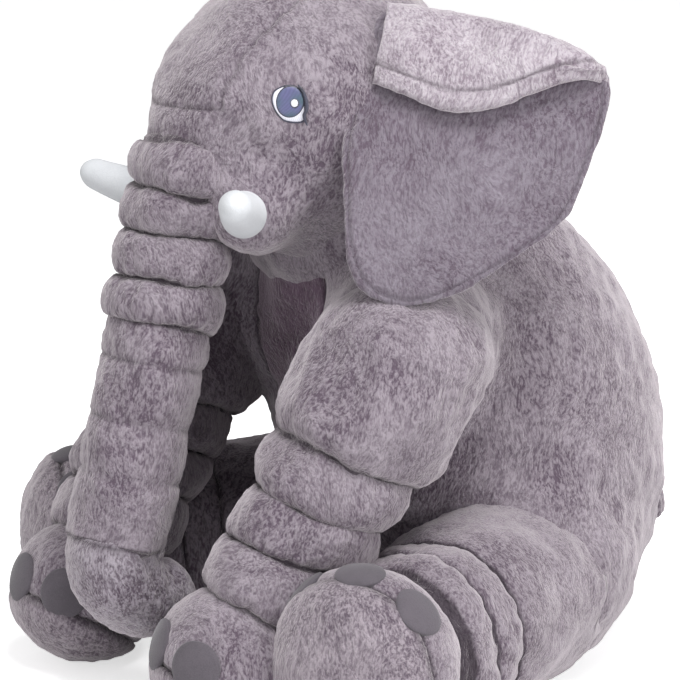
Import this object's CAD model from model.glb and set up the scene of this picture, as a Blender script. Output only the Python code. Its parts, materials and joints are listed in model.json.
"""The visible plush elephant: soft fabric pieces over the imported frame, floor, light and camera.

Lengths inside the shape code are millimetres; every mesh is written in metres.
"""
import bpy
import json
import math
import numpy as np
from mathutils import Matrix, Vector


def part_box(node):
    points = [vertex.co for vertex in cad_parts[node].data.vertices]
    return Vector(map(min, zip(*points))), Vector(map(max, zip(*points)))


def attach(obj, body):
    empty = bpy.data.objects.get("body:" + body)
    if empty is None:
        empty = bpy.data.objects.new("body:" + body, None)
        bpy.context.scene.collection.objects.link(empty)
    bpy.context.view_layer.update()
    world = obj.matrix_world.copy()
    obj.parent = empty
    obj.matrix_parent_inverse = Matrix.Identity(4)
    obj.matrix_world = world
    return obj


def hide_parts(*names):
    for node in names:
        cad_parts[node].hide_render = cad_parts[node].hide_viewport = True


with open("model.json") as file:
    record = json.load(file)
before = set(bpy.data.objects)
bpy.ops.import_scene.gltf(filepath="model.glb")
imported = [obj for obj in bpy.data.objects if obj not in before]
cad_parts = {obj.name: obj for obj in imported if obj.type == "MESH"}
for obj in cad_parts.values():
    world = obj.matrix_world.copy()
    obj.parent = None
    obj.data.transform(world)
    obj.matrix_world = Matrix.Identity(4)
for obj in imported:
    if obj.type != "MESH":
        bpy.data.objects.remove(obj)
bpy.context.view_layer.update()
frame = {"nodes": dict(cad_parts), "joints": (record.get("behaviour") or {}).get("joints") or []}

MM = 0.001
FABRIC = 2.5
FLOOR_GAP = 0.1     # the lowest that any piece reaches
PRESSED_HEIGHT = 0.3    # how far above the floor a pressed surface lies
PRESSED_TURN = 3.0      # how softly it turns up from there
SEWN_WIDTH = 5      # cloth this close to a seam stays in place when a cover is puffed
SIDES = {"left": 1.0, "right": -1.0}
JOINTS = {joint["name"]: joint for joint in frame["joints"]}
UP = np.array([0.0, 0.0, 1.0])
ACROSS = np.array([1.0, 0.0, 0.0])


def pivot(name):
    """A joint's pivot, in millimetres."""
    return np.array(JOINTS[name]["pos_m"], float) / MM


def box_centre(node):
    """The middle of a CAD node's box, in millimetres."""
    low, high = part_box(node)
    return (np.array(low, float) + np.array(high, float)) / (2 * MM)


def unit(vector):
    """A vector scaled to length one."""
    vector = np.asarray(vector, float)
    return vector / np.linalg.norm(vector)


# --- noise and implicit shapes ----------------------------------------------------------

def ripple(points, wavelength, seed, waves=7):
    """Smooth, repeatable noise of about -1 to 1, with features near a wavelength."""
    random = np.random.RandomState(seed)
    total = np.zeros(len(points))
    for _ in range(waves):
        direction = unit(random.normal(size=3))
        stretch = random.uniform(0.7, 1.4)
        phase = random.uniform(0, 2 * math.pi)
        total += np.sin(points @ direction * (2 * math.pi * stretch / wavelength) + phase)
    return total / math.sqrt(waves)


def leaned(offset, lean):
    """Offsets' depth and height, along directions leaned forward by degrees."""
    angle = math.radians(lean)
    depth = offset[:, 1] * math.cos(angle) + offset[:, 2] * math.sin(angle)
    height = -offset[:, 1] * math.sin(angle) + offset[:, 2] * math.cos(angle)
    return depth, height


def egg(points, centre, radii, lean=0.0):
    """Signed distance, near enough, to an ellipsoid leaned forward by degrees."""
    offset = points - np.asarray(centre, float)
    local = np.stack([offset[:, 0], *leaned(offset, lean)], axis=1)
    radii = np.asarray(radii, float)
    near = np.linalg.norm(local / radii, axis=1)
    slope = np.linalg.norm(local / radii ** 2, axis=1) + 1e-9
    return near * (near - 1.0) / slope


def ball(points, centre, radius):
    """Signed distance to a sphere."""
    return np.linalg.norm(points - centre, axis=1) - radius


def capsule(points, start, end, start_radius, end_radius):
    """Signed distance, near enough, to a round bar whose radius changes along it."""
    start = np.asarray(start, float)
    span = np.asarray(end, float) - start
    share = np.clip((points - start) @ span / (span @ span), 0, 1)
    nearest = start + share[:, None] * span
    radius = start_radius + (end_radius - start_radius) * share
    return np.linalg.norm(points - nearest, axis=1) - radius


def melt(first, second, width):
    """Union of two fields with a fillet of about a width."""
    mix = np.clip(0.5 + 0.5 * (second - first) / width, 0, 1)
    return second + (first - second) * mix - width * mix * (1 - mix)


def carve(first, second, width):
    """What two fields share, with a rounded edge."""
    return -melt(-first, -second, width)


# --- meshes -----------------------------------------------------------------------------

def new_mesh(name, points, faces):
    """An object from points in millimetres."""
    mesh = bpy.data.meshes.new(name)
    mesh.from_pydata((np.asarray(points) * MM).tolist(), [], faces)
    mesh.validate()
    mesh.update()
    mesh.polygons.foreach_set("use_smooth", [True] * len(mesh.polygons))
    piece = bpy.data.objects.new(name, mesh)
    bpy.context.scene.collection.objects.link(piece)
    return piece


def read_points(piece):
    """A mesh's points in millimetres."""
    flat = np.empty(len(piece.data.vertices) * 3)
    piece.data.vertices.foreach_get("co", flat)
    return flat.reshape(-1, 3) / MM


def write_points(piece, points):
    """Put points in millimetres back into a mesh."""
    piece.data.vertices.foreach_set("co", (points * MM).ravel())
    piece.data.update()


def read_normals(piece):
    """A mesh's point normals."""
    flat = np.empty(len(piece.data.vertices) * 3)
    piece.data.vertex_normals.foreach_get("vector", flat)
    return flat.reshape(-1, 3)


def paint(piece, name, values):
    """Store one number for each point, for the materials to read."""
    layer = piece.data.attributes.get(name)
    if layer is None:
        layer = piece.data.attributes.new(name, "FLOAT", "POINT")
    layer.data.foreach_set("value", np.asarray(values, np.float32))


def paint_rows(piece, rows, poles=(0, 0)):
    """Paint the seams of a tube's rows and of its two poles."""
    paint(piece, "seam", np.concatenate([np.ravel(rows), poles]))


def painted(piece, name):
    """The numbers stored for each point, or zeros."""
    values = np.zeros(len(piece.data.vertices), np.float32)
    layer = piece.data.attributes.get(name)
    if layer is not None:
        layer.data.foreach_get("value", values)
    return values


def average_neighbours(piece, points):
    """Each point's neighbours' mean place."""
    edges = np.empty(len(piece.data.edges) * 2, int)
    piece.data.edges.foreach_get("vertices", edges)
    first, second = edges.reshape(-1, 2).T
    count = np.bincount(first, minlength=len(points)) + np.bincount(second, minlength=len(points))
    total = np.empty_like(points)
    for axis in range(3):
        total[:, axis] = np.bincount(first, points[second, axis], len(points))
        total[:, axis] += np.bincount(second, points[first, axis], len(points))
    return total / np.maximum(count, 1)[:, None]


def settle_on(points, field, steps):
    """Move points onto a field's zero surface."""
    reach = 0.5
    for _ in range(steps):
        value = field(points)
        slope = np.stack([(field(points + reach * axis) - field(points - reach * axis))
                          / (2 * reach) for axis in np.eye(3)], axis=1)
        steepness = np.maximum((slope ** 2).sum(axis=1), 0.05)
        points = points - np.clip(value / steepness, -6, 6)[:, None] * slope
    return points


def voxel_skin(inside):
    """Corner numbers of the square faces between the inside and outside of a voxel grid."""
    quads = []
    for axis in range(3):
        for sign in (1, -1):
            cells = np.argwhere(inside & ~np.roll(inside, -sign, axis=axis))
            base = cells.copy()
            if sign == 1:
                base[:, axis] += 1
            first, second = np.zeros(3, int), np.zeros(3, int)
            first[(axis + 1) % 3] = 1
            second[(axis + 2) % 3] = 1
            ring = [base, base + first, base + first + second, base + second]
            quads.append(np.stack(ring[::sign], axis=1))
    return np.concatenate(quads)


def implicit_piece(name, field, low, high, voxel):
    """A smooth closed mesh of a field's inside: the skin of its voxels, then relaxed."""
    axes = [np.arange(a - 3 * voxel, b + 3 * voxel, voxel) for a, b in zip(low, high)]
    grid = np.stack(np.meshgrid(*axes, indexing="ij"), axis=-1)
    inside = (field(grid.reshape(-1, 3)) < 0).reshape(grid.shape[:3])
    quads = voxel_skin(inside)
    shape = np.array(inside.shape) + 1
    keys = (quads[..., 0] * shape[1] + quads[..., 1]) * shape[2] + quads[..., 2]
    used, index = np.unique(keys.ravel(), return_inverse=True)
    corners = np.stack([used // (shape[1] * shape[2]), used // shape[2] % shape[1],
                        used % shape[2]], axis=1)
    origin = np.array([axis[0] for axis in axes]) - voxel / 2
    points = origin + corners * voxel
    piece = new_mesh(name, points, index.reshape(-1, 4).tolist())
    for steps in (3, 2, 2, 2, 2, 4):
        points = 0.35 * points + 0.65 * average_neighbours(piece, points)
        points = settle_on(points, field, steps)
    write_points(piece, points)
    return piece


def press_seams(piece, distance, width, depth, darkness=1.0):
    """Sink a mesh along its normals near a seam, pucker it, and darken the seam."""
    points = read_points(piece)
    near = np.exp(-(distance / width) ** 2)
    wide = np.exp(-(distance / (3.5 * width)) ** 2)
    pucker = 0.35 * depth * wide * ripple(points, 5 * width, 11)
    points -= read_normals(piece) * (depth * near + 0.5 * depth * wide + pucker)[:, None]
    write_points(piece, points)
    line = darkness * np.exp(-(distance / (0.75 * width)) ** 2)
    paint(piece, "seam", np.maximum(painted(piece, "seam"), line))


def lumps(piece, coarse=1.6, fine=0.45, seed=3, calm=1.0):
    """The uneven surface of stuffed plush: soft hollows and brushed tufts."""
    points = read_points(piece)
    swell = coarse * ripple(points, 62, seed) + 0.5 * coarse * ripple(points, 27, seed + 1)
    tufts = fine * ripple(points, 11, seed + 2, waves=11)
    write_points(piece, points + read_normals(piece) * (calm * (swell + tufts))[:, None])


def away_from(points, spots, reach):
    """0 at any of the spots, rising to 1 beyond a reach."""
    gap = np.min([np.linalg.norm(points - spot, axis=1) for spot in spots], axis=0)
    return 1 - np.exp(-(gap / reach) ** 4)


def rest_on_floor(points):
    """Press whatever hangs below the floor flat against it, with a soft turn."""
    height = (points[:, 2] - PRESSED_HEIGHT) / PRESSED_TURN
    eased = np.where(height > 20, height, np.log1p(np.exp(np.minimum(height, 20))))
    pressed = points.copy()
    pressed[:, 2] = PRESSED_HEIGHT + PRESSED_TURN * eased
    return pressed


def puff(piece, pinned, frames, pressure, cap):
    """Inflate a cover by cloth simulation while its pinned points stay sewn in place."""
    scene = bpy.context.scene
    before = read_points(piece)
    sewn = piece.vertex_groups.new(name="sewn")
    sewn.add(np.flatnonzero(pinned).tolist(), 1.0, "REPLACE")
    cloth = piece.modifiers.new("cloth", "CLOTH")
    cloth.settings.quality = 4
    cloth.settings.mass = 0.3
    cloth.settings.tension_stiffness = 12
    cloth.settings.compression_stiffness = 12
    cloth.settings.bending_stiffness = 0.4
    cloth.settings.vertex_group_mass = sewn.name
    cloth.settings.use_pressure = True
    cloth.settings.uniform_pressure_force = pressure
    cloth.settings.effector_weights.gravity = 0
    for number in range(1, frames + 1):
        scene.frame_set(number)
    mesh = piece.evaluated_get(bpy.context.evaluated_depsgraph_get()).to_mesh()
    flat = np.empty(len(mesh.vertices) * 3)
    mesh.vertices.foreach_get("co", flat)
    move = flat.reshape(-1, 3) / MM - before
    length = np.linalg.norm(move, axis=1)
    move *= (cap * np.tanh(length / cap) / np.maximum(length, 1e-6))[:, None]
    piece.modifiers.remove(cloth)
    piece.vertex_groups.remove(sewn)
    scene.frame_set(1)
    after = before + move
    for _ in range(2):
        after = 0.5 * after + 0.5 * average_neighbours(piece, after)
    after[pinned] = before[pinned]
    write_points(piece, after)


def sweep(name, line, side, radii):
    """A closed tube about a centre line in a plane with normal side; radii has one value
    for each row and angle."""
    line = np.asarray(line, float)
    around = radii.shape[1]
    tangent = np.gradient(line, axis=0)
    tangent /= np.linalg.norm(tangent, axis=1)[:, None]
    outward = np.cross(side, tangent)
    turn = np.arange(around) * 2 * math.pi / around
    spoke = (np.cos(turn)[None, :, None] * outward[:, None]
             + np.sin(turn)[None, :, None] * np.asarray(side, float)[None, None])
    return grid_mesh(name, line[:, None] + radii[..., None] * spoke)


def grid_mesh(name, grid):
    """A closed mesh from rows of points around a tube, with a pole at each end."""
    rows, around = grid.shape[:2]
    points = np.concatenate([grid.reshape(-1, 3), grid[0].mean(axis=0)[None],
                             grid[-1].mean(axis=0)[None]])
    row, column = np.meshgrid(np.arange(rows - 1), np.arange(around), indexing="ij")
    after = (column + 1) % around
    quads = np.stack([row * around + column, (row + 1) * around + column,
                      (row + 1) * around + after, row * around + after], axis=-1)
    faces = quads.reshape(-1, 4).tolist()
    first_pole, last_pole = rows * around, rows * around + 1
    last_row = (rows - 1) * around
    for index in range(around):
        following = (index + 1) % around
        faces.append([first_pole, index, following])
        faces.append([last_pole, last_row + following, last_row + index])
    return new_mesh(name, points, faces)


# --- gathered tubes ---------------------------------------------------------------------

ROW_STEP = 2.6      # distance between rows of a tube's mesh
DOME_ROWS = 9
PLEATS = 17         # gathers around a crease


def crease_wave(seed, turn, height):
    """How far a crease wanders along its tube, for each angle around it."""
    random = np.random.RandomState(seed)
    wave = np.zeros_like(turn)
    for order in (1, 2, 3, 5):
        wave += random.uniform(0.4, 1.0) / order * np.cos(order * turn
                                                          + random.uniform(0, 2 * math.pi))
    return height * wave


def pleats(seed, turn):
    """Uneven gathers around a crease, 0 to 1."""
    random = np.random.RandomState(seed)
    drift = 1.1 * np.sin(turn + random.uniform(0, 6)) + 0.7 * np.sin(3 * turn
                                                                     + random.uniform(0, 6))
    return 0.5 + 0.5 * np.cos(PLEATS * turn + 2 * drift)


def gathered_rows(creases, fat, core, domes, around, wave=2.2, gather=1.6, fullness=2.3,
                  tilt=0.0, plain_start=False):
    """Distances and radii of a tube with bulges between creases and a dome at each end.

    creases holds (distance, seed); fat holds the radius between two creases and core the
    radius at each crease; domes holds the lengths of the two ends, inside the neighbours.
    tilt sinks the creases at the front and raises them as much at the rear; plain_start
    leaves the first crease without gathers, where it lies inside the neighbour.
    """
    turn = np.arange(around) * 2 * math.pi / around
    edges = [distance + crease_wave(seed, turn, wave) + tilt * np.cos(turn)
             for distance, seed in creases]
    folds = [pleats(seed, turn) for _, seed in creases]
    if plain_start:
        folds[0] = np.zeros(around)
    places, radii, seams = [], [], []

    def add(place, radius, seam):
        places.append(place * np.ones(around))
        radii.append(radius * np.ones(around))
        seams.append(seam * np.ones(around))

    for angle in np.linspace(0.04, 1, DOME_ROWS)[:-1] * math.pi / 2:
        reach = domes[0] * math.cos(angle)
        flat = math.sin(angle)
        add(creases[0][0] + (edges[0] - creases[0][0]) * flat - reach, core[0] * flat, 1.0)
    for index, radius in enumerate(fat):
        start, end = edges[index], edges[index + 1]
        low, high = core[index], core[index + 1]
        count = max(10, int((creases[index + 1][0] - creases[index][0]) / ROW_STEP))
        first = 0 if index == 0 else 1
        for share in np.linspace(0, 1, count + 1)[first:]:
            level = -math.cos(share * math.pi)
            place = start + (end - start) * (0.5 + 0.5 * level)
            base = low + (high - low) * (0.5 + 0.5 * level)
            height = (1 - abs(level) ** fullness) ** (1 / fullness)
            near_start = np.exp(-((place - start) / 9.0) ** 2)
            near_end = np.exp(-((end - place) / 9.0) ** 2)
            gathers = gather * (near_start * folds[index] + near_end * folds[index + 1])
            seam = np.exp(-(np.minimum(place - start, end - place) / 1.6) ** 2)
            add(place, base + (radius - base) * height - gathers, seam)
    for angle in np.linspace(1, 0.04, DOME_ROWS)[1:] * math.pi / 2:
        reach = domes[1] * math.cos(angle)
        flat = math.sin(angle)
        add(creases[-1][0] + (edges[-1] - creases[-1][0]) * flat + reach, core[-1] * flat,
            1.0)
    return np.array(places), np.array(radii), np.array(seams)


class Limb:
    """A straight padded limb: where it starts, which way it points, which way is up."""

    def __init__(self, top, end, upward=UP):
        self.top = np.asarray(top, float)
        self.axis = unit(np.asarray(end, float) - self.top)
        self.length = float(np.linalg.norm(np.asarray(end, float) - self.top))
        self.up = unit(np.asarray(upward, float) - self.axis * (self.axis @ upward))
        self.side = np.cross(self.axis, self.up)

    def place(self, distance, turn, radius):
        """Points at distances along, turns from up, and radii from the centre line."""
        distance, turn, radius = np.broadcast_arrays(distance, turn, radius)
        spoke = np.cos(turn)[..., None] * self.up + np.sin(turn)[..., None] * self.side
        return self.top + distance[..., None] * self.axis + radius[..., None] * spoke

    def tube(self, name, places, radii, seams):
        """A closed mesh from gathered rows, with its creases painted."""
        turn = -np.arange(places.shape[1]) * 2 * math.pi / places.shape[1]
        grid = self.place(places, turn[None, :], radii)
        piece = grid_mesh(name, grid)
        paint_rows(piece, seams, (1, 1))
        return piece


# --- materials --------------------------------------------------------------------------

class Nodes:
    """A material's node tree with short calls to add and link nodes."""

    def __init__(self, name):
        self.material = bpy.data.materials.new(name)
        self.material.use_nodes = True
        self.tree = self.material.node_tree
        self.surface = self.tree.nodes["Principled BSDF"]

    def add(self, kind, inputs=None, **settings):
        """Add a node; inputs may be numbers, colours or another node's output."""
        node = self.tree.nodes.new("ShaderNode" + kind)
        for word, value in settings.items():
            setattr(node, word, value)
        for socket, value in (inputs or {}).items():
            self.feed(node.inputs[socket], value)
        return node

    def feed(self, socket, value):
        """Link or set one input."""
        if isinstance(value, bpy.types.NodeSocket):
            self.tree.links.new(value, socket)
        else:
            socket.default_value = value

    def math(self, operation, first, second=0.0, clamp=False):
        """One sum, product or the like."""
        node = self.add("Math", {0: first, 1: second}, operation=operation, use_clamp=clamp)
        return node.outputs[0]

    def noise(self, vector, scale, detail=3.0, roughness=0.6, distortion=0.0):
        """Noise of 0 to 1."""
        node = self.add("TexNoise", {"Vector": vector, "Scale": scale, "Detail": detail,
                                     "Roughness": roughness, "Distortion": distortion})
        return node.outputs["Fac"]

    def stretch(self, value, low, high):
        """A value spread over 0 to 1 between two levels, with a soft turn."""
        node = self.add("MapRange", {"Value": value, "From Min": low, "From Max": high},
                        interpolation_type="SMOOTHSTEP")
        return node.outputs["Result"]

    def cloth(self, colour, bump, roughness, sheen):
        """Join up colour and bump (height, strength, depth), and return the material."""
        height, strength, depth = bump
        relief = self.add("Bump", {"Height": height, "Strength": strength,
                                   "Distance": depth})
        self.feed(self.surface.inputs["Base Color"], colour)
        self.feed(self.surface.inputs["Normal"], relief.outputs[0])
        self.surface.inputs["Roughness"].default_value = roughness
        self.surface.inputs["Sheen Weight"].default_value = sheen
        return self.material

    def mix(self, share, first, second):
        """Two colours mixed."""
        node = self.add("Mix", data_type="RGBA")
        self.feed(node.inputs["Factor"], share)
        self.feed(node.inputs[6], first)
        self.feed(node.inputs[7], second)
        return node.outputs[2]


def plush(name, pale, middle, dark, streaks=1.0):
    """Short-pile plush: brushed streaks, crushed darker patches, pale rims and dark creases."""
    nodes = Nodes(name)
    place = nodes.add("TexCoord").outputs["Object"]
    drift = nodes.add("TexNoise", {"Vector": place, "Scale": 7.0, "Detail": 2.0})
    swing = nodes.add("VectorMath", {0: drift.outputs["Color"], "Scale": 0.07},
                      operation="SCALE").outputs[0]
    bent = nodes.add("VectorMath", {0: place, 1: swing}, operation="ADD").outputs[0]
    brushed = nodes.add("Mapping", {"Vector": bent, "Scale": (1.0, 1.0, 0.50),
                                    "Rotation": (0.5, 0.35, 0.3)}).outputs[0]
    fibre = nodes.noise(brushed, 520.0, 3.0, 0.6, 0.4)
    tuft = nodes.noise(brushed, 190.0, 3.0, 0.6, 0.8)
    patch = nodes.noise(bent, 13.0, 4.0, 0.55, 0.3)
    crushed = nodes.stretch(patch, 0.34, 0.68)
    cloud = nodes.stretch(nodes.noise(bent, 38.0, 3.0, 0.6, 0.6), 0.36, 0.66)
    streak = nodes.stretch(nodes.math("ADD", nodes.math("MULTIPLY", fibre, 0.6),
                                      nodes.math("MULTIPLY", tuft, 0.4)), 0.38, 0.60)
    shade = nodes.math("MULTIPLY", nodes.math("SUBTRACT", 1.0, streak),
                       nodes.math("ADD", 0.60 * streaks,
                                  nodes.math("MULTIPLY", crushed, 0.28 * streaks)))
    shade = nodes.math("ADD", shade, nodes.math("MULTIPLY", cloud, 0.20))
    shade = nodes.math("ADD", shade, nodes.math("MULTIPLY", crushed, 0.22), True)
    rim = nodes.add("LayerWeight", {"Blend": 0.35}).outputs["Facing"]
    lit = nodes.math("MULTIPLY", nodes.stretch(rim, 0.25, 1.0), 0.6)
    colour = nodes.mix(shade, (*middle, 1), (*dark, 1))
    colour = nodes.mix(lit, colour, (*pale, 1))
    seam = nodes.add("Attribute", attribute_name="seam").outputs["Fac"]
    deep = tuple(0.35 * part for part in dark)
    colour = nodes.mix(nodes.math("MULTIPLY", seam, 0.85, True), colour, (*deep, 1))
    height = nodes.math("ADD", nodes.math("MULTIPLY", fibre, 0.5),
                        nodes.math("MULTIPLY", tuft, 0.9))
    nodes.surface.inputs["Specular IOR Level"].default_value = 0.12
    nodes.surface.inputs["Sheen Roughness"].default_value = 0.45
    nodes.surface.inputs["Sheen Tint"].default_value = (1.0, 0.93, 0.95, 1)
    return nodes.cloth(colour, (height, 0.9, 0.0035), 0.92, 0.55)


def smooth_cloth(name, colour, variation=0.12, sheen=0.25):
    """Close short cloth: a fine nap, faint mottling and a soft sheen."""
    nodes = Nodes(name)
    place = nodes.add("TexCoord").outputs["Object"]
    nap = nodes.noise(place, 900.0, 3.0, 0.6)
    mottle = nodes.noise(place, 40.0, 3.0, 0.55)
    shade = nodes.math("MULTIPLY", nodes.math("ADD", nap, mottle), 0.5)
    dim = tuple(part * (1 - 2 * variation) for part in colour)
    base = nodes.mix(nodes.stretch(shade, 0.35, 0.62), (*dim, 1), (*colour, 1))
    nodes.surface.inputs["Specular IOR Level"].default_value = 0.2
    return nodes.cloth(base, (nap, 0.35, 0.0008), 0.8, sheen)


def embroidery(name, colour, second, slant):
    """Satin stitches: fine parallel threads with a faint gloss, shading to a second tone."""
    nodes = Nodes(name)
    place = nodes.add("TexCoord").outputs["Object"]
    turned = nodes.add("Mapping", {"Vector": place, "Rotation": slant}).outputs[0]
    thread = nodes.add("TexWave", {"Vector": turned, "Scale": 420.0, "Distortion": 1.2,
                                   "Detail": 2.0}).outputs["Fac"]
    tone = nodes.stretch(nodes.noise(place, 55.0, 1.0, 0.5), 0.38, 0.62)
    base = nodes.mix(tone, (*colour, 1), (*second, 1))
    lined = nodes.mix(nodes.math("MULTIPLY", thread, 0.25), base,
                      tuple(0.4 * part for part in colour) + (1,))
    return nodes.cloth(lined, (thread, 0.4, 0.0004), 0.42, 0.2)


PALE = (0.60, 0.54, 0.585)
MIDDLE = (0.315, 0.277, 0.312)
DARK = (0.095, 0.07, 0.095)
MATERIALS = {
    "plush": plush("plush", PALE, MIDDLE, DARK),
    "belly_plush": plush("belly_plush", (0.26, 0.19, 0.25), (0.16, 0.105, 0.15),
                         (0.06, 0.038, 0.055)),
    "tip_plush": plush("tip_plush", PALE, (0.42, 0.38, 0.425), DARK),
    "ear_plush": plush("ear_plush", (0.44, 0.40, 0.445), (0.22, 0.195, 0.23), DARK, 0.9),
    "flap_plush": plush("flap_plush", (0.72, 0.67, 0.71), (0.50, 0.455, 0.495),
                        (0.19, 0.15, 0.185), 0.8),
    "sole_plush": plush("sole_plush", PALE, (0.36, 0.315, 0.35), (0.11, 0.085, 0.11), 1.1),
    "seat_cloth": plush("seat_cloth", (0.42, 0.37, 0.40), (0.30, 0.25, 0.28), DARK, 0.6),
    "nail_cloth": smooth_cloth("nail_cloth", (0.105, 0.092, 0.108)),
    "white_cloth": smooth_cloth("white_cloth", (0.62, 0.635, 0.66), 0.05, sheen=0.1),
    "iris_thread": embroidery("iris_thread", (0.10, 0.10, 0.215), (0.055, 0.105, 0.13),
                              (0.3, 0.2, 0.9)),
    "eye_white_thread": embroidery("eye_white_thread", (0.74, 0.73, 0.80),
                                   (0.68, 0.68, 0.76), (0.6, 0.1, 0.2)),
    "dark_thread": embroidery("dark_thread", (0.028, 0.028, 0.045), (0.04, 0.04, 0.07),
                              (0.1, 0.7, 0.4)),
}
SLOT_OF = {**dict.fromkeys(("sole_plush", "ear_plush", "flap_plush", "tip_plush"), "plush"),
           **dict.fromkeys(("iris_thread", "eye_white_thread", "dark_thread"),
                           "eye_thread")}


def finish_piece(piece, body, material, *nodes):
    """Give a finished mesh its material, its body and the CAD nodes that it stands for."""
    points = read_points(piece)
    points[:, 2] = np.maximum(points[:, 2], FLOOR_GAP)
    write_points(piece, points)
    piece.data.materials.clear()
    piece.data.materials.append(MATERIALS[material])
    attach(piece, body)
    if nodes:
        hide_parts(*nodes)
    return piece


# --- sewn panels ------------------------------------------------------------------------

def split_panels(piece, borders):
    """Move a cover's points onto its seams and return each face's side of every seam.

    borders(points) gives each point's signed distance to the seams, one column per seam.
    """
    points = read_points(piece)
    corners = np.array([list(face.vertices) for face in piece.data.polygons])
    for _ in range(2):
        sign = borders(points[corners].mean(axis=1)) > 0
        for column in range(sign.shape[1]):
            seen = np.zeros((len(points), 2), bool)
            for state in (0, 1):
                seen[corners[sign[:, column] == state].ravel(), state] = True
            rim = np.flatnonzero(seen.all(axis=1))
            value = borders(points[rim])[:, column]
            near = np.abs(value) < 9
            rim, value = rim[near], value[near]
            slope = np.stack([borders(points[rim] + axis)[:, column]
                              - borders(points[rim] - axis)[:, column]
                              for axis in np.eye(3)], axis=1) / 2
            points[rim] -= slope * (value / np.maximum((slope ** 2).sum(axis=1),
                                                       0.1))[:, None]
    write_points(piece, points)
    return sign


def take_faces(piece, chosen, name):
    """A new object from some of a mesh's faces, with its painted seam kept."""
    points = read_points(piece)
    corners = np.array([list(face.vertices) for face in piece.data.polygons])[chosen]
    used, index = np.unique(corners.ravel(), return_inverse=True)
    panel = new_mesh(name, points[used], index.reshape(corners.shape).tolist())
    paint(panel, "seam", painted(piece, "seam")[used])
    loops = np.empty(len(panel.data.loops), int)
    panel.data.loops.foreach_get("edge_index", loops)
    rim = np.bincount(loops, minlength=len(panel.data.edges)) == 1
    sharp = panel.data.attributes.new("sharp_edge", "BOOLEAN", "EDGE")
    sharp.data.foreach_set("value", rim)
    thickness = panel.modifiers.new("fabric", "SOLIDIFY")
    thickness.thickness = FABRIC * MM
    thickness.offset = -1
    return panel


# --- torso ------------------------------------------------------------------------------

NECK = pivot("head_turn")
TORSO = NECK + (0, 134, -210)
TORSO_RADII = (163, 172, 232)
TORSO_LEAN = 19
BELLY_HALF = 50
TORSO_FLOOR = 2.5
TORSO_LOW = (-200, -215, 0)
TORSO_HIGH = (200, 185, 450)
HIP_RADIUS = 80
SHOULDER_RADIUS = 68


def sided(point, side):
    """A point's mirror image on the right, or the point itself on the left."""
    return np.asarray(point, float) * (side, 1, 1)


def torso_field(points):
    """The torso's egg with its hips and shoulders, flat where it sits."""
    field = egg(points, TORSO, TORSO_RADII, TORSO_LEAN)
    for name, side in SIDES.items():
        hip = pivot(name + "_hip_splay") + sided((-4, 12, 4), side)
        field = melt(field, ball(points, hip, HIP_RADIUS), 60)
        shoulder = pivot(name + "_shoulder_swing") + sided((-26, 22, 0), side)
        field = melt(field, ball(points, shoulder, SHOULDER_RADIUS), 50)
    field = melt(field, capsule(points, NECK + (0, 40, -60), NECK + (0, -5, 5), 100, 84), 40)
    return carve(field, TORSO_FLOOR - points[:, 2], 16)


def torso_borders(points):
    """Signed distances to the middle plane and to the belly panel's seam."""
    depth, _ = leaned(points - TORSO, TORSO_LEAN)
    belly = np.minimum(BELLY_HALF - np.abs(points[:, 0]), -depth)
    return np.stack([points[:, 0], belly], axis=1)


def seam_distance(borders):
    """Distance to the nearest seam, from the signed distances of two borders."""
    middle, inner = borders.T
    return np.where(inner > 0, inner, np.minimum(np.abs(inner), np.abs(middle)))


def side_panels(sign):
    """Each side's name, with its faces outside the middle panel."""
    left, inner = sign.T
    return (("left", ~inner & left), ("right", ~inner & ~left))


def make_torso():
    """Side panels, belly panel and seat panel, puffed between their seams."""
    whole = implicit_piece("torso_whole", torso_field, TORSO_LOW, TORSO_HIGH, 4.0)
    lumps(whole, 1.8, 0.5)
    gap = seam_distance(torso_borders(read_points(whole)))
    puff(whole, (gap < SEWN_WIDTH) | (read_points(whole)[:, 2] < 8), frames=12, pressure=1.2,
         cap=5)
    sign = split_panels(whole, torso_borders)
    press_seams(whole, seam_distance(torso_borders(read_points(whole))), 3.0, 2.6)
    finish_piece(take_faces(whole, sign[:, 1], "belly_cover"), "torso", "belly_plush",
                 "belly_panel")
    for name, chosen in side_panels(sign):
        nodes = ["torso_%s_panel" % name]
        if name == "left":
            nodes.append("torso_stuffing")
        finish_piece(take_faces(whole, chosen, "torso_%s_cover" % name), "torso", "plush",
                     *nodes)
    bpy.data.objects.remove(whole)
    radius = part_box("seat_panel")[1].x / MM
    turn = np.arange(72) * 2 * math.pi / 72
    rows = [(0.2, 0.3), (0.2, 0.97), (1.2, 1.0), (2.4, 0.985), (3.0, 0.93), (3.0, 0.3)]
    grid = np.array([np.stack([radius * share * np.cos(turn), radius * share * np.sin(turn),
                               np.full(72, height)], axis=1) for height, share in rows])
    finish_piece(grid_mesh("seat_cover", grid), "torso", "seat_cloth", "seat_panel")


NECK_RADII = (94, 92, 92)


def neck_field(points):
    """The padded neck, a ball that torso and head both wrap."""
    return egg(points, NECK, NECK_RADII)


def make_neck():
    """The neck's padded cover."""
    reach = max(NECK_RADII) + 2
    piece = implicit_piece("neck_cover", neck_field, NECK - reach, NECK + reach, 5.0)
    lumps(piece, 1.2, 0.4, 20)
    paint(piece, "seam", np.zeros(len(piece.data.vertices)))
    finish_piece(piece, "neck", "plush", "neck_band", "neck_stuffing")


# --- head -------------------------------------------------------------------------------

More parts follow.
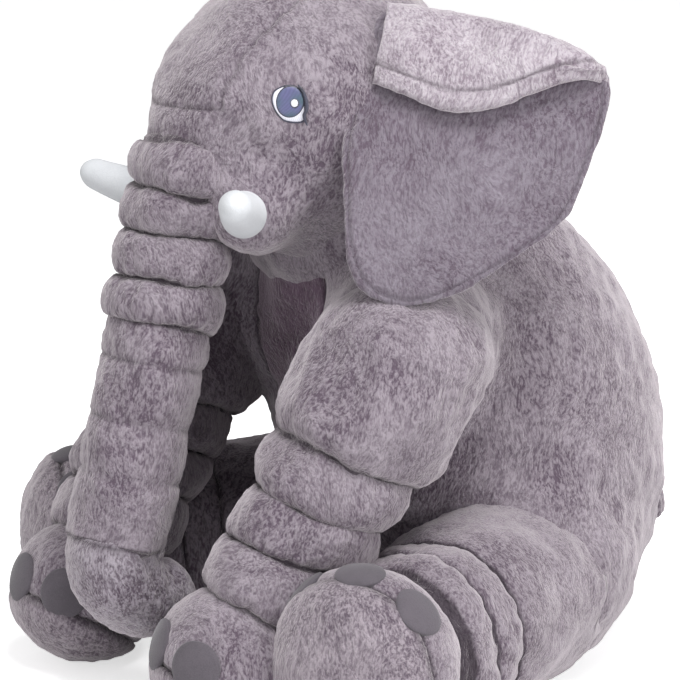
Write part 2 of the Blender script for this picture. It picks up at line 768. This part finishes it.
HEAD_RADII = np.array([118.0, 124.0, 128.0])
HEAD = np.array([0.0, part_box("head_left_panel")[1].y / MM - HEAD_RADII[1],
                 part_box("forehead_panel")[1].z / MM - HEAD_RADII[2]])
TRUNK_TOP = box_centre("trunk_ring_1_stuffing")
FOREHEAD_HALF = 54
CROSS_SEAM = 14
CHEEK = np.array([51.0, -95.0, -71.0])
CHEEK_RADIUS = 34
EYE_CALM = 26       # the face is smooth within this distance of an eye
HEAD_LOW = (-130, -350, 330)
HEAD_HIGH = (130, -30, 615)


def head_field(points):
    """The head's egg, melted into the trunk's root and the two cheeks."""
    field = egg(points, HEAD, HEAD_RADII)
    root = capsule(points, TRUNK_TOP + (0, 68, 62), TRUNK_TOP + (0, 15, 22), 60, 46)
    field = melt(field, root, 34)
    brow = capsule(points, TRUNK_TOP + (-24, 34, 56), TRUNK_TOP + (24, 34, 56), 40, 40)
    field = melt(field, brow, 30)
    for side in SIDES.values():
        field = melt(field, ball(points, HEAD + sided(CHEEK, side), CHEEK_RADIUS), 26)
    return field


def head_borders(points):
    """Signed distances to the middle plane and to the forehead panel's seam."""
    offset = points - HEAD
    inner = np.minimum(FOREHEAD_HALF - np.abs(offset[:, 0]), offset[:, 2] - CROSS_SEAM)
    return np.stack([offset[:, 0], inner], axis=1)


def pleat_root(piece):
    """Upright gathers between the cross seam and the trunk's first ring."""
    points = read_points(piece)
    offset = points - TRUNK_TOP
    front = (offset[:, 1] < 30) & (np.abs(offset[:, 0]) < 70)
    height = np.clip((offset[:, 2] - 14) / 42, 0, 1)
    fade = np.where(front, np.sin(height * math.pi) ** 0.5, 0.0)
    fold = np.cos(offset[:, 0] / 10.5 + 0.6 * np.sin(offset[:, 2] / 19))
    write_points(piece, points - read_normals(piece)
                 * (fade * 1.5 * (1 + fold) ** 2 / 2)[:, None])


def make_head():
    """Side panels and forehead panel over the head's form."""
    whole = implicit_piece("head_whole", head_field, HEAD_LOW, HEAD_HIGH, 3.4)
    eyes = [eye_frame(side)[0] for side in SIDES.values()]
    calm = away_from(read_points(whole), eyes, EYE_CALM)
    lumps(whole, 1.3, 0.45, 31, calm)
    pleat_root(whole)
    gap = seam_distance(head_borders(read_points(whole)))
    puff(whole, (gap < SEWN_WIDTH) | (calm < 0.6), frames=10, pressure=1.0, cap=1.6)
    sign = split_panels(whole, head_borders)
    borders = head_borders(read_points(whole))
    press_seams(whole, seam_distance(borders), 1.6, 0.5, 0.14)
    cross = np.where(np.abs(borders[:, 1]) < FOREHEAD_HALF - np.abs(read_points(whole)[:, 0]),
                     np.abs(borders[:, 1]), 1e3)
    press_seams(whole, cross, 1.8, 0.9, 0.45)
    finish_piece(take_faces(whole, sign[:, 1], "forehead_cover"), "head", "plush",
                 "forehead_panel", "head_stuffing")
    for name, chosen in side_panels(sign):
        finish_piece(take_faces(whole, chosen, "head_%s_cover" % name), "head", "plush",
                     "head_%s_panel" % name)
    bpy.data.objects.remove(whole)


# --- eyes and tusks ---------------------------------------------------------------------

def spline(corners, place):
    """Points of a Catmull-Rom curve; place counts from the curve's second corner."""
    index = place.astype(int)
    share = (place - index)[:, None]
    a, b, c, d = (corners[(index + shift) % len(corners)] for shift in range(4))
    return 0.5 * (2 * b + (c - a) * share + (2 * a - 5 * b + 4 * c - d) * share ** 2
                  + (3 * b - a - 3 * c + d) * share ** 3)


def smooth_loop(corners, count):
    """A closed smooth curve through corners."""
    corners = np.roll(np.asarray(corners, float), 1, axis=0)
    return spline(corners, np.arange(count) * len(corners) / count)


def smooth_path(corners, count):
    """An open smooth curve through corners."""
    corners = np.asarray(corners, float)
    padded = np.concatenate([[2 * corners[0] - corners[1]], corners,
                             [2 * corners[-1] - corners[-2]]])
    return spline(padded, np.linspace(0, len(corners) - 1 - 1e-9, count))


def eye_frame(side):
    """The eye's place on the face, with its rearward, upward and outward directions."""
    place = settle_on(box_centre("left_eye" if side > 0 else "right_eye")[None], head_field,
                      6)
    slope = [(head_field(place + axis) - head_field(place - axis))[0] for axis in np.eye(3)]
    outward = unit(slope)
    rearward = unit(np.cross(UP, outward)) * side
    upward = np.cross(outward, rearward) * side
    return place[0], rearward, upward, outward


def on_face(side, flat):
    """Points on the face from rearward and upward steps, and the eye's outward direction."""
    place, rearward, upward, outward = eye_frame(side)
    points = place + flat[:, :1] * rearward + flat[:, 1:] * upward
    return settle_on(points, head_field, 6), outward


def eye_layer(name, material, outline, side, lift, *nodes):
    """A domed stitched shape on the face, from its outline in rearward and upward steps."""
    middle = outline.mean(axis=0)
    rings = []
    for share, height in ((1.0, -1.2), (1.0, 0.55), (0.94, 0.92), (0.75, 1.0), (0.4, 1.06),
                          (0.08, 1.08)):
        raised, outward = on_face(side, middle + (outline - middle) * share)
        rings.append(raised + outward * (lift * height))
    grid = np.array(rings)
    if side < 0:
        grid = grid[:, ::-1]
    finish_piece(grid_mesh(name, grid), "head", material, *nodes)


def oval(across, tall, lean, centre=(0, 0), count=48):
    """Points round an oval leaned by degrees."""
    turn = np.arange(count) * 2 * math.pi / count
    angle = math.radians(lean)
    x, y = across * np.cos(turn), tall * np.sin(turn)
    return np.stack([centre[0] + x * math.cos(angle) + y * math.sin(angle),
                     centre[1] - x * math.sin(angle) + y * math.cos(angle)], axis=1)


EYE_WHITE = [(-6, 11), (-10.6, 8), (-12.2, 3), (-11.2, -2.5), (-8.2, -8), (-4, -12.2),
             (1, -13.6), (6.5, -13.8), (10, -12.4), (10.8, -7), (10.8, 0), (9.2, 7),
             (5, 11.2), (-0.5, 12.4)]
IRIS = (0.6, 0.9)
GLINT = (4.0, -0.3)
EYE_LASH = [(6.6, 14.2), (10.6, 9), (13.2, 2), (13.5, -5), (11.6, -9.5), (12.2, -13.5),
            (14, -18)]


def lash_layer(name, side, lift):
    """The stitched line behind the eye, as a raised cord with pointed ends."""
    points, outward = on_face(side, smooth_path(EYE_LASH, 40))
    points += outward * lift
    half = 1.5 * np.sin(np.linspace(0.1, math.pi - 0.1, 40)) ** 0.5
    finish_piece(sweep(name, points, outward, np.repeat(half[:, None], 12, axis=1)), "head",
                 "dark_thread")


def make_eye(name, side):
    """Outline, white, iris, pupil, highlight and lash, each its own stitched layer."""
    white = smooth_loop(EYE_WHITE, 64) * 1.07
    eye_layer(name + "_eye_outline", "dark_thread", white * 1.08, side, 0.7, name + "_eye")
    eye_layer(name + "_eye_white", "eye_white_thread", white, side, 1.1)
    eye_layer(name + "_eye_iris_edge", "dark_thread", oval(11.4, 13.0, 10, IRIS), side, 1.4)
    eye_layer(name + "_eye_iris", "iris_thread", oval(10.6, 12.2, 10, IRIS), side, 1.7)
    eye_layer(name + "_eye_pupil", "dark_thread", oval(4.0, 4.2, 0, GLINT, 32), side, 1.9)
    eye_layer(name + "_eye_highlight", "eye_white_thread", oval(3.0, 3.2, 0, GLINT, 24), side,
              2.1)
    lash_layer(name + "_eye_lash", side, 2.4)


TUSK_REACH = 76
TUSK_RISE = 0.0017      # upward bend, per millimetre squared


def make_tusk(name, side):
    """A blunt tusk that bends upward, and the plush socket that it is sewn into."""
    low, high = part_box(name + "_tusk")
    tip = np.array([high.x if side > 0 else low.x, low.y, high.z]) / MM
    root = HEAD + sided((60, -110, -69), side)
    axis = unit(tip + sided((-10, 10, -14), side) - root)
    reach = np.concatenate([np.linspace(-14, TUSK_REACH - 14, 30),
                            TUSK_REACH - 14 + 13 * np.sin(np.linspace(0.1, 1.5, 12))])
    bend = TUSK_RISE * np.maximum(reach, 0) ** 2 - 0.0006 * np.maximum(reach, 0)
    line = root + reach[:, None] * axis + bend[:, None] * UP
    taper = 20.5 - 9.0 * np.clip(reach / TUSK_REACH, 0, 1) ** 0.9
    tip_share = np.clip((reach - TUSK_REACH + 14) / 13.2, 0, 1)
    radii = taper * np.sqrt(1 - tip_share ** 2)
    level = unit(np.cross(axis, UP))
    tusk = sweep(name + "_tusk_cover", line, level, np.repeat(radii[:, None], 48, axis=1))
    finish_piece(tusk, "head", "white_cloth", name + "_tusk")
    rows = [(-26, 20), (-12, 27.5), (-2, 28), (3.5, 26.5), (6, 24), (6.2, 21.5), (3, 19.5),
            (0, 10)]
    limb = Limb(root, root + axis, UP)
    places = np.array([[distance] * 64 for distance, _ in rows], float)
    widths = np.array([[radius] * 64 for _, radius in rows], float)
    seams = np.zeros_like(places)
    seams[-3:] = 1.0
    socket = limb.tube(name + "_tusk_socket", places, widths, seams)
    smooth = socket.modifiers.new("round", "SUBSURF")
    smooth.levels = smooth.render_levels = 1
    finish_piece(socket, "head", "plush")


# --- ears -------------------------------------------------------------------------------

EAR_LEAF = [(-8, -58), (40, -68), (90, -71), (135, -70), (168, -65), (182, -38), (183, 10),
            (177, 60), (153, 99), (130, 126), (108, 147), (85, 162), (62, 165), (40, 157),
            (21, 130), (8, 93), (-3, 62), (-8, 20), (-9, -20)]
FLAP_TOP = [(-6, -60), (40, -69), (90, -73), (135, -71), (172, -62)]
FLAP_PARTS = (0.30, 0.66, 0.74)     # where its roll, front and lower edge end, of 1 around
FLAP_EDGE = [(2, 4), (34, 8), (67, 8), (100, -6), (128, -27), (153, -44), (176, -54)]
EAR_HALF_THICKNESS = 7.0


class Ear:
    """An ear's own directions: outward and downward in its plane, and to its front."""

    def __init__(self, name, side):
        joint = JOINTS[name + "_ear_flap"]
        self.seam = np.array(joint["pos_m"], float) / MM
        self.down = unit(joint["axis"]) * side
        layer = frame["nodes"][name + "_ear_back"]
        corners = read_points(layer)
        normal = np.linalg.svd(corners - corners.mean(axis=0), full_matrices=False)[2][2]
        self.front = normal * (-1 if normal[1] > 0 else 1)
        self.out = unit(np.cross(self.down, self.front)) * side
        if self.out[0] * side < 0:
            self.out = -self.out

    def bowl(self, flat):
        """How far the leaf's middle surface stands to the front of its plane."""
        out, down = flat[..., 0], flat[..., 1]
        rim = 0.0011 * (out - 85) ** 2 + 0.0007 * (down - 45) ** 2
        lobe = -10 * np.clip((down - 95) / 70, 0, 1) ** 2
        wave = 3.0 * np.sin(out / 34 + down / 60)
        return rim - 9 + lobe + wave

    def place(self, flat, forward):
        """Points from (outward, downward) pairs and a height to the front."""
        return (self.seam + flat[..., :1] * self.out + flat[..., 1:2] * self.down
                + forward[..., None] * self.front)


def make_ear_leaf(name, side, ear):
    """The padded leaf, front and back, with a stitched rim."""
    outline = smooth_loop(EAR_LEAF, 220)
    middle = np.array([88.0, 40.0])
    shares = np.sin(np.linspace(0.03, math.pi / 2, 34))
    rows, seams = [], []

    def add(share, face):
        flat = middle + (outline - middle) * share
        swell = EAR_HALF_THICKNESS * (1 - share ** 9) ** 0.5
        stitch = np.exp(-((share - 0.955) / 0.012) ** 2)
        surface = ear.bowl(flat) + face * (swell - (1.6 * stitch if face > 0 else 0))
        rows.append(ear.place(flat, surface))
        seams.append(np.full(len(flat), 0.55 * stitch if face > 0 else 0.0))

    for share in shares:
        add(share, 1)
    for share in shares[-2::-1]:
        add(share, -1)
    grid = np.array(rows)
    if side > 0:
        grid = grid[:, ::-1]
    leaf = grid_mesh(name + "_ear_leaf", grid)
    paint_rows(leaf, seams)
    lumps(leaf, 0.9, 0.3, 57)
    finish_piece(leaf, name + "_ear", "ear_plush", name + "_ear_back")


def make_ear_flap(name, side, ear):
    """The folded upper part: it rolls over the leaf's top edge and hangs in front."""
    count = 110
    top = smooth_path(FLAP_TOP, count)
    edge = smooth_path(FLAP_EDGE, count)
    share = np.linspace(0, 1, count)
    roll = 17.0 * np.sqrt(np.clip(1 - (2 * np.abs(share - 0.47)) ** 5, 0, 1)) + 1.0
    section = 64
    roll_end, front_end, edge_end = FLAP_PARTS
    rows, seams = [], []
    for index in range(count):
        radius = roll[index]
        drop = edge[index] - top[index]
        reach = np.linalg.norm(drop)
        down = drop / max(reach, 1e-6)
        points, seam = [], []
        for step in np.arange(section) / section:
            if step < roll_end:
                angle = math.pi * (1 - step / roll_end)
                along, forward = radius * (1 - math.sin(angle)) - 3, radius * math.cos(angle)
            elif step < front_end:
                part = (step - roll_end) / (front_end - roll_end)
                along = radius - 3 + (reach - radius + 3 - 5) * part
                forward = radius + 3.5 * math.sin(math.pi * part)
            elif step < edge_end:
                angle = math.pi * (step - front_end) / (edge_end - front_end)
                along = reach - 5 + 5 * math.sin(angle)
                forward = radius - 5 + 5 * math.cos(angle)
            else:
                part = (step - edge_end) / (1 - edge_end)
                along = (reach - 5) * (1 - part) + (radius + 1) * part
                forward = (radius - 10) * (1 - part) - radius * part
            stitch = math.exp(-((along - reach + 15) / 1.6) ** 2) if step < front_end else 0.0
            points.append((along, forward - 1.8 * stitch))
            seam.append(0.8 * stitch)
        points = np.array(points)
        flat = top[index] + points[:, :1] * down
        rows.append(ear.place(flat, ear.bowl(flat) + 4 + points[:, 1]))
        seams.append(seam)
    grid = np.array(rows)
    if side < 0:
        grid = grid[:, ::-1]
    flap = grid_mesh(name + "_ear_flap_cover", grid)
    paint_rows(flap, seams)
    lumps(flap, 0.9, 0.3, 61)
    finish_piece(flap, name + "_ear", "flap_plush", name + "_ear_front")


# --- trunk ------------------------------------------------------------------------------

TRUNK_AROUND = 120
TUBE_RADIUS = 42.5
TUBE_STITCHES = (0.17, 0.44, 0.69)      # sewn lines, as shares of the tube's length
TIP_CURL = 41.0                         # radius of the tip's bend
TIP_TURN = math.radians(118)
TIP_STRAIGHT = 14
TIP_RADIUS = 40.5
TRUNK_SEED = 200        # the seeds choose how each crease wanders
TRUNK_RINGS = 4
RING_RADII = (50, 49, 49, 49)
CREASE_CORE = (41, 39, 39, 39, 39)


def trunk_limb():
    """The trunk's straight line, from its first ring's middle down to the tube's end."""
    return Limb(TRUNK_TOP, box_centre("trunk_tube_stuffing"), (0, -1, 0))


def along_limb(limb, point):
    """How far down a limb a point lies."""
    return float((np.asarray(point) - limb.top) @ limb.axis)


def make_trunk_rings(limb):
    """Four gathered rings; neighbours share the line of their crease."""
    middles = [along_limb(limb, box_centre("trunk_ring_%d_stuffing" % (index + 1)))
               for index in range(TRUNK_RINGS)]
    pitch = middles[1] - middles[0]
    for index in range(TRUNK_RINGS):
        creases = [(middles[index] + step * pitch / 2, TRUNK_SEED + index + (step > 0))
                   for step in (-1, 1)]
        rows = gathered_rows(creases, [RING_RADII[index]], CREASE_CORE[index:index + 2],
                             (14, 14), TRUNK_AROUND, wave=2.6, gather=1.8)
        node = "trunk_ring_%d" % (index + 1)
        piece = limb.tube(node + "_cover", *rows)
        lumps(piece, 1.2, 0.5, 70 + index)
        body = "head" if index == 0 else node
        finish_piece(piece, body, "plush", node, node + "_stuffing")
    return middles[-1] + pitch / 2


def stitch_rings(places, radii, seams, stitches):
    """Sink shallow sewn lines around a tube, by changing its radii and seams in place."""
    for distance in stitches:
        near = np.exp(-((places - distance) / 2.2) ** 2)
        wide = np.exp(-((places - distance) / 7.0) ** 2)
        radii -= 1.6 * near + 0.9 * wide
        np.maximum(seams, 0.55 * np.exp(-((places - distance) / 1.5) ** 2), out=seams)


def make_trunk_tube(limb, start):
    """The plain lower trunk with three stitched lines around it."""
    end = along_limb(limb, pivot("trunk_tip_curl"))
    length = end - start
    creases = [(start, TRUNK_SEED + TRUNK_RINGS), (end, TRUNK_SEED + 7)]
    rows = gathered_rows(creases, [TUBE_RADIUS], (39, 40), (14, 12), TRUNK_AROUND, wave=2.2,
                         gather=0.8, fullness=5.0)
    stitch_rings(*rows, [start + length * share for share in TUBE_STITCHES])
    piece = limb.tube("trunk_tube_cover", *rows)
    lumps(piece, 1.3, 0.5, 80)
    finish_piece(piece, "trunk_tube", "plush", "trunk_tube", "trunk_tube_stuffing")


def make_trunk_tip(limb):
    """The curled tip, narrowing to a rounded end."""
    start = pivot("trunk_tip_curl") - limb.axis * 12
    inward = np.array([0, -limb.axis[2], limb.axis[1]])
    bend = np.concatenate([np.zeros(8), np.linspace(0, TIP_TURN, 34)[1:],
                           np.full(8, TIP_TURN)])
    run = np.concatenate([np.linspace(0, TIP_STRAIGHT, 8), np.full(41, TIP_STRAIGHT)])
    extra = np.concatenate([np.zeros(41), 17 * np.sin(np.linspace(0.15, 1.5, 8))])
    heading = np.cos(bend)[:, None] * limb.axis + np.sin(bend)[:, None] * inward
    line = (start + run[:, None] * limb.axis
            + TIP_CURL * (np.sin(bend)[:, None] * limb.axis
                          + (1 - np.cos(bend))[:, None] * inward) + extra[:, None] * heading)
    share = np.linspace(0, 1, len(line))
    radii = TIP_RADIUS - 14 * share ** 1.6
    radii[:8] *= np.sin(np.linspace(0.2, math.pi / 2, 8)) ** 0.5
    radii[-8:] *= np.sqrt(1 - np.linspace(0.02, 0.97, 8) ** 2)
    grid = np.repeat(radii[:, None], 96, axis=1)
    piece = sweep("trunk_tip_cover", line, ACROSS, grid)
    seam = np.exp(-((run + TIP_CURL * bend - 12) / 2.2) ** 2)
    paint_rows(piece, 0.8 * np.repeat(seam, 96), (1, 0))
    lumps(piece, 1.0, 0.5, 83)
    finish_piece(piece, "trunk_tip", "tip_plush", "trunk_tip", "trunk_tip_stuffing")


# --- legs -------------------------------------------------------------------------------

FOOT_TURN = -np.arange(128) * 2 * math.pi / 128
FOOT_ROWS = 64


class Foot:
    """A stuffed foot: a ball on a limb's line, its sole cap and its nails."""

    def __init__(self, limb, middle, radius, back, front):
        self.limb, self.middle, self.radius = limb, middle, radius
        self.back, self.front = back, front

    def skin(self, swing, turn, lift=0.0):
        """Points on the foot: swing runs from the leg to the sole's middle, 0 to pi."""
        swing, turn = np.broadcast_arrays(np.asarray(swing, float), turn)
        half = np.where(swing < math.pi / 2, self.back, self.front)
        distance = self.middle - (half + lift) * np.cos(swing)
        radius = (self.radius + lift) * np.sin(swing) ** 0.86
        return rest_on_floor(self.limb.place(distance, turn, radius))


def foot_ball(foot, sole_swing):
    """The foot's closed cover, sunk at the sole's seam and under the sole."""
    swing = np.linspace(0.03, math.pi - 0.03, FOOT_ROWS)
    near = np.exp(-((swing - sole_swing) / 0.035) ** 2)
    wide = np.exp(-((swing - sole_swing) / 0.13) ** 2)
    sunk = -(2.2 * near + 1.6 * wide) - 4 * np.clip((swing - sole_swing) / 0.12, 0, 1)
    grid = np.array([foot.skin(one, FOOT_TURN, lift) for one, lift in zip(swing, sunk)])
    return grid, np.repeat(near, len(FOOT_TURN))


def make_foot(node, body, foot, sole_swing, nail_turns, nail_size):
    """The foot, its sole panel and three smooth nails."""
    grid, seams = foot_ball(foot, sole_swing)
    piece = grid_mesh(node + "_cover", grid)
    paint_rows(piece, seams)
    lumps(piece, 0.8, 0.4, 90)
    finish_piece(piece, body, "plush", node, node + "_stuffing")
    rows, seams = [], []
    for share, lift in ((0.0, -3.0), (0.012, 0.6), (0.04, 1.2), (0.07, 1.8), (0.12, 2.4)):
        rows.append(foot.skin(sole_swing + share * (math.pi - sole_swing), FOOT_TURN, lift))
        seams.append(1 - share / 0.12)
    for share in np.linspace(0.2, 0.98, 22):
        rows.append(foot.skin(sole_swing + share * (math.pi - sole_swing), FOOT_TURN, 2.6))
        seams.append(0)
    sole = grid_mesh(node + "_sole_cover", np.array(rows))
    paint_rows(sole, np.repeat(seams, len(FOOT_TURN)))
    lumps(sole, 0.9, 0.4, 93)
    finish_piece(sole, body, "sole_plush", node + "_sole")
    for number, angle in enumerate(nail_turns, start=1):
        make_nail("%s_nail_%d" % (node, number), body, foot, sole_swing, angle, nail_size,
                  *([node + "_nails"] if number == 1 else []))


def make_nail(name, body, foot, sole_swing, angle, size, *nodes):
    """A smooth oval patch on the foot, its front edge under the sole."""
    turn = np.arange(48) * 2 * math.pi / 48
    tall, wide = size
    rows = []
    for share, lift in ((1.0, -2.0), (1.0, 1.2), (0.95, 2.0), (0.8, 2.4), (0.4, 2.6),
                        (0.06, 2.6)):
        swing = sole_swing - 0.62 * tall + tall * share * np.cos(turn)
        around = angle + wide * share * np.sin(turn)
        rows.append(foot.skin(swing, around, lift))
    finish_piece(grid_mesh(name, np.array(rows)), body, "nail_cloth", *nodes)


LEG_AROUND = 128
ARM_SEED = 300
ARM_TILT = 9
UPPER_ARM_RADIUS = 73
ARM_RINGS = [61, 59, 57]                  # radius of each ring
ARM_CREASES = (55, 51, 49, 47)            # radius at each crease
FOREFOOT_RADIUS = 64
FORE_NAIL_STEP = 50                       # degrees between nails
FORE_NAILS = {"left": 22, "right": 5}     # the middle nail's turn about the leg, in degrees


def make_foreleg(name):
    """Upper part, gathered rings and foot of a foreleg."""
    shoulder = pivot(name + "_shoulder_swing")
    middle = box_centre(name + "_forefoot_stuffing")
    limb = Limb(shoulder, middle, (0, -1, 0))
    knee = along_limb(limb, pivot(name + "_knee_bend"))
    ankle = along_limb(limb, pivot(name + "_ankle_bend"))
    upper = gathered_rows([(6, ARM_SEED), (knee, ARM_SEED + 1)], [UPPER_ARM_RADIUS], (72, 56),
                          (66, 16), LEG_AROUND, wave=3.0, gather=1.6, fullness=2.2,
                          tilt=ARM_TILT, plain_start=True)
    piece = limb.tube(name + "_upper_foreleg_cover", *upper)
    paint_rows(piece, upper[2] * (upper[0] > 50))
    lumps(piece, 1.8, 0.5, 100)
    finish_piece(piece, name + "_upper_foreleg", "plush", name + "_upper_foreleg",
                 name + "_upper_foreleg_stuffing")
    pitch = (ankle - knee) / 3
    creases = [(knee + index * pitch, ARM_SEED + 1 + index) for index in range(4)]
    lower = gathered_rows(creases, ARM_RINGS, ARM_CREASES, (16, 16), LEG_AROUND, wave=3.0,
                          gather=2.2, tilt=ARM_TILT)
    piece = limb.tube(name + "_foreleg_rings_cover", *lower)
    lumps(piece, 1.6, 0.5, 103)
    finish_piece(piece, name + "_lower_foreleg", "plush", name + "_foreleg_rings",
                 name + "_foreleg_rings_stuffing")
    foot = Foot(limb, limb.length, FOREFOOT_RADIUS, 56, 60)
    turns = [math.radians(FORE_NAILS[name] + step * FORE_NAIL_STEP) for step in (-1, 0, 1)]
    make_foot(name + "_forefoot", name + "_forefoot", foot, math.radians(118), turns,
              (0.36, 0.34))


HIND_LIFT = 9       # the stuffed hind foot stands this much above its filling's middle
HIND_AROUND = 144
HIND_SEED = 400
HIND_RINGS = [82, 76, 75]
HIND_CREASES = (80, 72, 69, 66)
HIND_RING_PITCH = 33
HINDFOOT_RADIUS = 77
HIND_NAIL_STEP = 44


def make_hindleg(name):
    """Thigh with gathered rings, and foot, of a hind leg."""
    hip = pivot(name + "_hip_splay")
    middle = box_centre(name + "_hindfoot_stuffing")
    limb = Limb(hip, middle)
    ankle = along_limb(limb, pivot(name + "_hind_ankle_bend"))
    first = ankle - 2 * HIND_RING_PITCH
    places = (10, first, first + HIND_RING_PITCH, ankle)
    creases = [(place, HIND_SEED + index) for index, place in enumerate(places)]
    rows = gathered_rows(creases, HIND_RINGS, HIND_CREASES, (76, 18), HIND_AROUND, wave=2.6,
                         gather=1.8, fullness=2.6, plain_start=True)
    piece = limb.tube(name + "_hindleg_cover", *rows)
    paint_rows(piece, rows[2] * (rows[0] > 40))
    lumps(piece, 1.6, 0.5, 110)
    write_points(piece, rest_on_floor(read_points(piece)))
    finish_piece(piece, name + "_hindleg", "plush", name + "_hindleg",
                 name + "_hindleg_stuffing")
    foot = Foot(Limb(hip, middle + (0, 0, HIND_LIFT)), limb.length, HINDFOOT_RADIUS, 54, 52)
    turns = [math.radians(step * HIND_NAIL_STEP) for step in (-1, 0, 1)]
    make_foot(name + "_hindfoot", name + "_hindfoot", foot, math.radians(112), turns,
              (0.33, 0.27))


TAIL_DEPTH = 30     # how far the tail's root reaches into the back


def make_tail():
    """A thin stuffed tail that hangs from the back, with a tuft."""
    low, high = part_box("tail")
    root = pivot("tail_swing")
    tip = np.array([0, high.y / MM - 22, low.z / MM + 12])
    share = np.concatenate([np.linspace(0, 0.96, 34), [0.975, 0.99, 1.0]])
    inside = root + (0, -TAIL_DEPTH, TAIL_DEPTH / 3)
    path = smooth_path([inside, root + (0, -6, -2), 0.5 * (root + tip) + (0, 2, 0), tip], 400)
    line = path[(share * 399).astype(int)]
    radii = 9.5 + 6 * np.clip((share - 0.62) / 0.2, 0, 1) - 1.5 * np.exp(
        -((share - 0.64) / 0.03) ** 2)
    radii[-6:] *= np.sqrt(1 - np.linspace(0.1, 0.96, 6) ** 2)
    turn = np.arange(40) * 2 * math.pi / 40
    strands = 1 + 0.10 * np.clip((share - 0.66) / 0.1, 0, 1)[:, None] * np.cos(9 * turn)
    piece = sweep("tail_cover", line, ACROSS, radii[:, None] * strands)
    seam = np.repeat(np.exp(-((share - 0.64) / 0.02) ** 2)[:, None], 40, axis=1)
    paint_rows(piece, seam)
    finish_piece(piece, "tail", "plush", "tail")


# --- floor, light and camera ------------------------------------------------------------

AMBIENT = 0.43      # light from all around, beside the lamps
FLOOR_GLOW = 0.62   # brightness added to the floor for the camera alone
LAMPS = (("key", (1.0, -0.45, 2.6), 0.9, 54), ("fill", (1.2, -2.6, 0.8), 1.2, 16),
         ("rim", (2.4, 0.3, 1.0), 1.2, 30))     # place and size in metres, power in watts
LOOK_AT = Vector((0, -0.155, 0.279))
CAMERA_AZIMUTH = math.radians(55)
CAMERA_ELEVATION = math.radians(12)
CAMERA_DISTANCE = 2.2
CAMERA_LENS = 137.4
FLOOR_HALF = 9000


def make_stage():
    """A plain pale floor, soft studio light and the camera."""
    corners = [(x * FLOOR_HALF, y * FLOOR_HALF, 0) for x, y in
               ((-1, -1), (1, -1), (1, 1), (-1, 1))]
    floor = new_mesh("floor", corners, [(0, 1, 2, 3)])
    nodes = Nodes("floor")
    place = nodes.add("TexCoord").outputs["Object"]
    tone = nodes.mix(nodes.noise(place, 3.0, 2.0), (0.86, 0.86, 0.865, 1),
                     (0.89, 0.89, 0.89, 1))
    nodes.feed(nodes.surface.inputs["Base Color"], tone)
    nodes.surface.inputs["Roughness"].default_value = 0.9
    nodes.surface.inputs["Emission Color"].default_value = (1, 1, 1, 1)
    seen = nodes.add("LightPath").outputs["Is Camera Ray"]
    nodes.feed(nodes.surface.inputs["Emission Strength"],
               nodes.math("MULTIPLY", seen, FLOOR_GLOW))
    floor.data.materials.append(nodes.material)
    scene = bpy.context.scene
    scene.view_settings.view_transform = "Standard"
    world = bpy.data.worlds.new("studio")
    world.use_nodes = True
    backdrop = world.node_tree.nodes["Background"]
    backdrop.inputs["Color"].default_value = (1.0, 1.0, 1.0, 1)
    seen = world.node_tree.nodes.new("ShaderNodeLightPath").outputs["Is Camera Ray"]
    strength = world.node_tree.nodes.new("ShaderNodeMapRange")
    strength.inputs["To Min"].default_value = AMBIENT
    world.node_tree.links.new(seen, strength.inputs["Value"])
    world.node_tree.links.new(strength.outputs["Result"], backdrop.inputs["Strength"])
    scene.world = world
    for name, spot, size, power in LAMPS:
        light = bpy.data.lights.new(name, "AREA")
        light.size = size
        light.energy = power
        lamp = bpy.data.objects.new(name, light)
        lamp.location = spot
        lamp.rotation_euler = (LOOK_AT - Vector(spot)).to_track_quat("-Z", "Y").to_euler()
        scene.collection.objects.link(lamp)
    level = math.cos(CAMERA_ELEVATION)
    back = Vector((math.sin(CAMERA_AZIMUTH) * level, -math.cos(CAMERA_AZIMUTH) * level,
                   math.sin(CAMERA_ELEVATION)))
    camera = bpy.data.objects.new("camera", bpy.data.cameras.new("camera"))
    camera.data.sensor_width = 36
    camera.data.lens = CAMERA_LENS
    camera.location = LOOK_AT + back * CAMERA_DISTANCE
    camera.rotation_euler = (-back).to_track_quat("-Z", "Y").to_euler()
    scene.collection.objects.link(camera)
    scene.camera = camera


make_torso()
make_neck()
make_head()
trunk = trunk_limb()
tube_start = make_trunk_rings(trunk)
make_trunk_tube(trunk, tube_start)
make_trunk_tip(trunk)
for side_name, side_sign in SIDES.items():
    make_eye(side_name, side_sign)
    make_tusk(side_name, side_sign)
    ear_frame = Ear(side_name, side_sign)
    make_ear_leaf(side_name, side_sign, ear_frame)
    make_ear_flap(side_name, side_sign, ear_frame)
    make_foreleg(side_name)
    make_hindleg(side_name)
make_tail()
make_stage()
